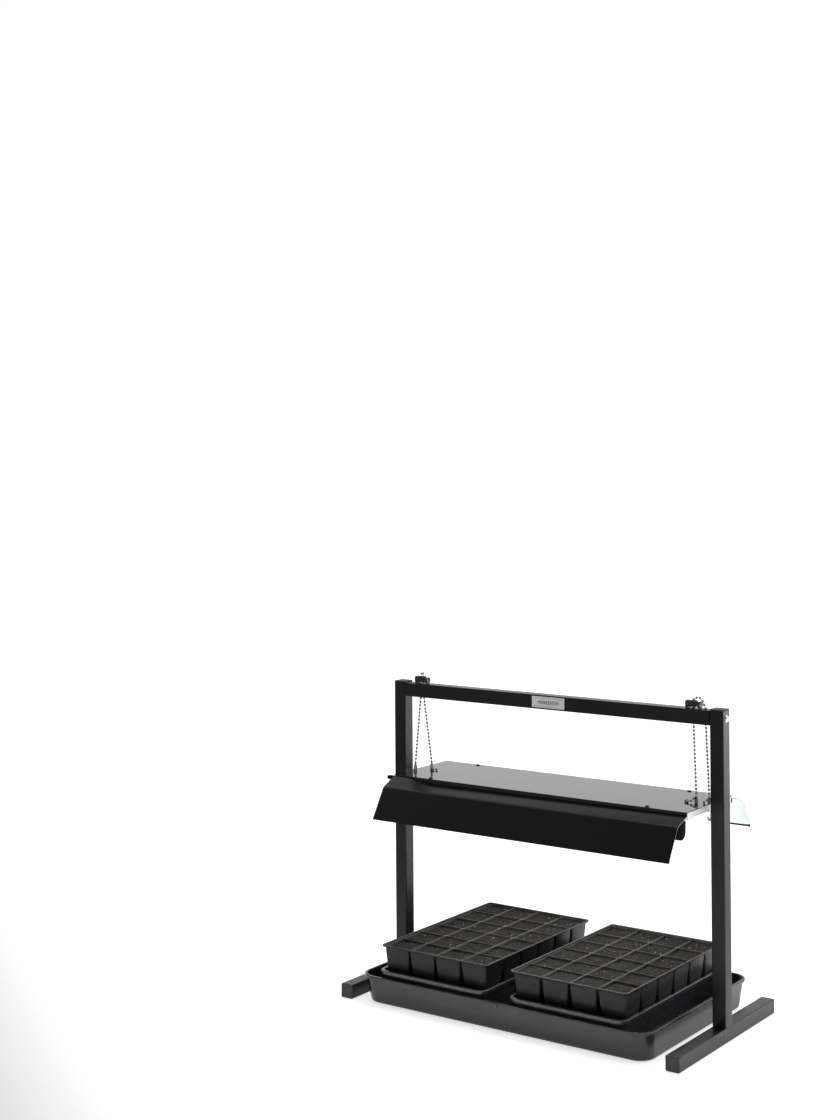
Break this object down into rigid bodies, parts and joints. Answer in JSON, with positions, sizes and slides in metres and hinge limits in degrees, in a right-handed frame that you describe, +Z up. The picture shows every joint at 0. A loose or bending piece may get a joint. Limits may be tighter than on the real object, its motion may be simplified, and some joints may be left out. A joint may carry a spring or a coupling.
{
  "type": "tabletop grow-light stand",
  "caption": "Tabletop grow-light stand: square-tube frame, hooded lamp hung on ball chains with push-button locks, drip tray and self-watering cell trays.",
  "frame": {"origin": "on the bench under the drip tray, midway between the two feet along the crossbar and under the crossbar", "axes": "+X along the crossbar to the right, +Y to the back, +Z up; the name plate faces -Y"},
  "size_m": [0.6968, 0.391, 0.5814],
  "materials": {
    "frame_paint": "satin",
    "black_plastic": "matt",
    "bright_steel": "bright",
    "plate_metal": "satin",
    "lock_plastic": "matt",
    "spring_steel": "plain",
    "chain_steel": "bright",
    "cover_gloss": "gloss",
    "housing_white": "satin",
    "wing_paint": "satin",
    "ballast_case": "satin",
    "holder_plastic": "satin",
    "screw_black": "satin",
    "lamp_glass": "frosted",
    "tray_plastic": "gloss",
    "reservoir_plastic": "gloss",
    "mat_felt": "felt",
    "insert_plastic": "satin"
  },
  "bodies": {
    "stand": {"foot_left": "frame_paint", "foot_cap_left_front": "black_plastic", "foot_cap_left_back": "black_plastic", "upright_left": "frame_paint", "upright_cap_left": "black_plastic", "frame_bolt_left": "bright_steel", "bar_plug_left": "black_plastic", "foot_right": "frame_paint", "foot_cap_right_front": "black_plastic", "foot_cap_right_back": "black_plastic", "upright_right": "frame_paint", "upright_cap_right": "black_plastic", "frame_bolt_right": "bright_steel", "bar_plug_right": "black_plastic", "crossbar": "frame_paint", "name_plate": "plate_metal", "chain_lock_left": "lock_plastic", "lock_spring_left": "spring_steel", "chain_left_loop": "chain_steel", "chain_left_inner": "chain_steel", "chain_left_outer": "chain_steel", "chain_lock_right": "lock_plastic", "lock_spring_right": "spring_steel", "chain_right_loop": "chain_steel", "chain_right_inner": "chain_steel", "chain_right_outer": "chain_steel"},
    "light": {"light_cover": "cover_gloss", "light_housing": "housing_white", "wing_front": "wing_paint", "wing_back": "wing_paint", "ballast_cover": "housing_white", "ballast": "ballast_case", "power_inlet": "holder_plastic", "cover_screw_left_front": "screw_black", "lampholder_left_front": "holder_plastic", "cover_screw_left_back": "screw_black", "lampholder_left_back": "holder_plastic", "chain_eye_left_inner": "chain_steel", "chain_eye_left_outer": "chain_steel", "cover_screw_right_front": "screw_black", "lampholder_right_front": "holder_plastic", "cover_screw_right_back": "screw_black", "lampholder_right_back": "holder_plastic", "chain_eye_right_inner": "chain_steel", "chain_eye_right_outer": "chain_steel"},
    "front_lamp": {"lamp_front": "lamp_glass"},
    "back_lamp": {"lamp_back": "lamp_glass"},
    "left_button": {"lock_button_left": "lock_plastic"},
    "right_button": {"lock_button_right": "lock_plastic"},
    "tray": {"drip_tray": "tray_plastic"},
    "left_reservoir": {"reservoir_left": "reservoir_plastic"},
    "left_platform": {"peg_platform_left": "reservoir_plastic", "capillary_mat_left": "mat_felt"},
    "left_insert": {"cell_insert_left": "insert_plastic"},
    "right_reservoir": {"reservoir_right": "reservoir_plastic"},
    "right_platform": {"peg_platform_right": "reservoir_plastic", "capillary_mat_right": "mat_felt"},
    "right_insert": {"cell_insert_right": "insert_plastic"}
  },
  "joints": [
    {"name": "light_height", "type": "slide", "parent": "stand", "child": "light", "axis": [0, 0, 1], "range_m": [0, 0.11], "deforming": ["chain_left_loop", "chain_left_inner", "chain_left_outer", "chain_right_loop", "chain_right_inner", "chain_right_outer"]},
    {"name": "front_lamp_turn", "type": "hinge", "parent": "light", "child": "front_lamp", "pos_m": [0.006, -0.064, 0.358], "axis": [1, 0, 0], "range_deg": [0, 90]},
    {"name": "back_lamp_turn", "type": "hinge", "parent": "light", "child": "back_lamp", "pos_m": [0.006, 0.078, 0.358], "axis": [1, 0, 0], "range_deg": [0, 90]},
    {"name": "left_button_press", "type": "slide", "parent": "stand", "child": "left_button", "axis": [-1, 0, 0], "range_m": [0, 0.0045], "stiffness_N_per_m": 800, "springref_m": -0.003, "deforming": ["lock_spring_left"]},
    {"name": "right_button_press", "type": "slide", "parent": "stand", "child": "right_button", "axis": [-1, 0, 0], "range_m": [0, 0.0045], "stiffness_N_per_m": 800, "springref_m": -0.003, "deforming": ["lock_spring_right"]},
    {"name": "tray_slide", "type": "slide", "parent": "stand", "child": "tray", "axis": [0, -1, 0], "range_m": [0, 0.42]},
    {"name": "left_reservoir_lift", "type": "slide", "parent": "tray", "child": "left_reservoir", "axis": [0, 0, 1], "range_m": [0, 0.06]},
    {"name": "left_platform_lift", "type": "slide", "parent": "left_reservoir", "child": "left_platform", "axis": [0, 0, 1], "range_m": [0, 0.055]},
    {"name": "left_insert_lift", "type": "slide", "parent": "left_platform", "child": "left_insert", "axis": [0, 0, 1], "range_m": [0, 0.07]},
    {"name": "right_reservoir_lift", "type": "slide", "parent": "tray", "child": "right_reservoir", "axis": [0, 0, 1], "range_m": [0, 0.06]},
    {"name": "right_platform_lift", "type": "slide", "parent": "right_reservoir", "child": "right_platform", "axis": [0, 0, 1], "range_m": [0, 0.055]},
    {"name": "right_insert_lift", "type": "slide", "parent": "right_platform", "child": "right_insert", "axis": [0, 0, 1], "range_m": [0, 0.07]}
  ]
}
